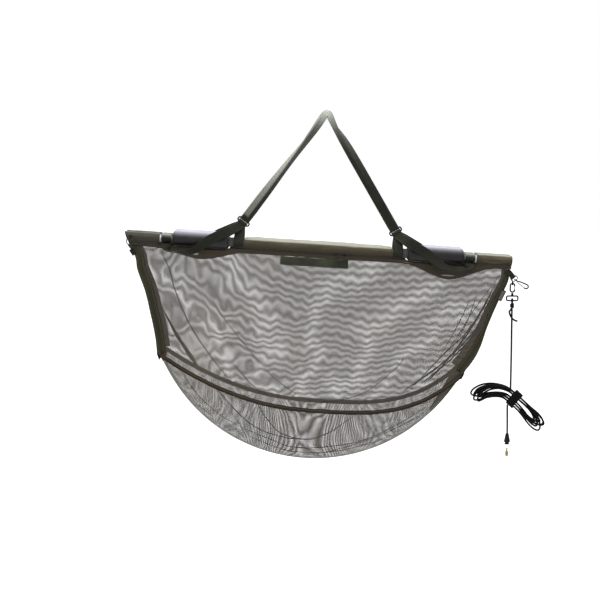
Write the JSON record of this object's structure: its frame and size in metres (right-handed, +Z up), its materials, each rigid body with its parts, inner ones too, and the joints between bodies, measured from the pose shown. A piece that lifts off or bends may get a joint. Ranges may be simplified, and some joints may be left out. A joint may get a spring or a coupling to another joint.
{
  "type": "weigh sling",
  "caption": "Floating weigh sling: a fine mesh bag below two sleeved tubes with foam floats, hung on webbing bridles and a carrying handle, with a clipped safety cord.",
  "frame": {"origin": "Inside the fold at the top of the carrying handle, where the sling hangs on a hook; tubes level.", "axes": "+X along the tubes, towards the end with the safety cord; +Y from the labelled front panel to the back panel; +Z up."},
  "size_m": [1.1783, 0.1284, 0.9531],
  "materials": {
    "sleeve_fabric": "coated olive cloth",
    "band_fabric": "dark olive cloth",
    "tape_fabric": "brown binding tape",
    "net_fabric": "fine grey-brown mesh",
    "webbing": "woven olive webbing",
    "label_fabric": "plain woven patch",
    "black_fabric": "black tape",
    "black_cord": "braided black cord",
    "float_foam": "dull closed-cell foam",
    "tube_metal": "drawn tube",
    "black_metal": "black coated wire",
    "plated_steel": "plated wire",
    "plug_plastic": "moulded",
    "dull_brass": "dull brass"
  },
  "bodies": {
    "handle": {"handle_strap": "webbing"},
    "front_half": {"front_tube": "tube_metal", "front_tube_left_plug": "plug_plastic", "front_tube_right_plug": "plug_plastic", "front_left_float": "float_foam", "front_right_float": "float_foam", "front_sleeve": "sleeve_fabric", "front_panel": "net_fabric", "front_bowl": "net_fabric", "front_rim_tape": "tape_fabric", "front_left_end_tape": "tape_fabric", "front_left_gusset": "net_fabric", "front_left_band": "band_fabric", "front_right_end_tape": "tape_fabric", "front_right_gusset": "net_fabric", "front_right_band": "band_fabric", "left_bridle_ring": "black_metal", "right_bridle_ring": "black_metal", "left_inner_bridle": "webbing", "left_outer_bridle": "webbing", "right_inner_bridle": "webbing", "right_outer_bridle": "webbing", "label_patch": "label_fabric", "side_tag": "label_fabric", "pull_tab": "black_fabric", "ring_keeper": "black_fabric", "clip_tab": "webbing", "cord_loop": "black_cord"},
    "back_half": {"back_tube": "tube_metal", "back_tube_left_plug": "plug_plastic", "back_tube_right_plug": "plug_plastic", "back_left_float": "float_foam", "back_right_float": "float_foam", "back_sleeve": "sleeve_fabric", "back_panel": "net_fabric", "back_bowl": "net_fabric", "back_rim_tape": "tape_fabric", "back_left_end_tape": "tape_fabric", "back_left_gusset": "net_fabric", "back_left_band": "band_fabric", "back_right_end_tape": "tape_fabric", "back_right_gusset": "net_fabric", "back_right_band": "band_fabric"},
    "left_ring": {"left_wire_ring": "plated_steel"},
    "tab_ring": {"tab_ring": "black_metal"},
    "spare_clip": {"spare_clip": "black_metal"},
    "spare_gate": {"spare_gate": "plated_steel"},
    "cord_clip": {"cord_clip": "black_metal"},
    "cord_gate": {"cord_gate": "plated_steel"},
    "cord_line": {"cord_eye": "black_metal", "cord_bight": "black_cord", "cord_knot": "black_cord", "cord_tail": "black_cord", "cord_upper": "black_cord", "hank": "black_cord", "hank_wrap": "black_cord", "cord_lower": "black_cord", "end_tab": "black_fabric"},
    "end_ring": {"end_ring": "plated_steel"},
    "end_fitting": {"end_fitting": "dull_brass"}
  },
  "joints": [
    {"name": "sling_swing", "type": "hinge", "parent": "handle", "child": "front_half", "pos_m": [0, 0, -0.29846], "axis": [1, 0, 0], "range_deg": [-60, 60], "deforming": ["handle_strap"]},
    {"name": "mouth_open", "type": "hinge", "parent": "front_half", "child": "back_half", "pos_m": [0, 0, -0.953], "axis": [-1, 0, 0], "range_deg": [0, 8], "stiffness_Nm_per_rad": 3, "springref_deg": -8.59, "deforming": ["left_inner_bridle", "left_outer_bridle", "right_inner_bridle", "right_outer_bridle"]},
    {"name": "left_ring_swing", "type": "hinge", "parent": "front_half", "child": "left_ring", "pos_m": [-0.507, -0.03715, -0.363], "axis": [1, 0, 0], "range_deg": [-100, 0]},
    {"name": "tab_ring_swing", "type": "hinge", "parent": "front_half", "child": "tab_ring", "pos_m": [0.53152, -0.033, -0.40402], "axis": [0.7071, 0, 0.7071], "range_deg": [-40, 12]},
    {"name": "spare_clip_swing", "type": "hinge", "parent": "tab_ring", "child": "spare_clip", "pos_m": [0.53845, -0.033, -0.41095], "axis": [0.4695, 0, 0.8829], "range_deg": [-50, 50]},
    {"name": "spare_gate_press", "type": "hinge", "parent": "spare_clip", "child": "spare_gate", "pos_m": [0.54331, -0.033, -0.41693], "axis": [0, 1, 0], "range_deg": [-20, 0], "stiffness_Nm_per_rad": 0.02, "springref_deg": 5.73},
    {"name": "cord_clip_swing", "type": "hinge", "parent": "front_half", "child": "cord_clip", "pos_m": [0.53234, -0.024, -0.42134], "axis": [0, 1, 0], "range_deg": [-30, 2], "deforming": ["cord_loop"]},
    {"name": "cord_gate_press", "type": "hinge", "parent": "cord_clip", "child": "cord_gate", "pos_m": [0.53931, -0.024, -0.43752], "axis": [0, 1, 0], "range_deg": [-25, 0], "stiffness_Nm_per_rad": 0.02, "springref_deg": 5.73},
    {"name": "cord_turn", "type": "hinge", "parent": "cord_clip", "child": "cord_line", "pos_m": [0.535, -0.024, -0.462], "axis": [0.0652, 0, -0.9979], "continuous": true},
    {"name": "end_ring_swing", "type": "hinge", "parent": "cord_line", "child": "end_ring", "pos_m": [0.55675, -0.024, -0.86684], "axis": [0.9979, 0, 0.0652], "range_deg": [-60, 60]},
    {"name": "end_fitting_swing", "type": "hinge", "parent": "end_ring", "child": "end_fitting", "pos_m": [0.55767, -0.024, -0.88081], "axis": [0.9979, 0, 0.0652], "range_deg": [-60, 60]}
  ]
}
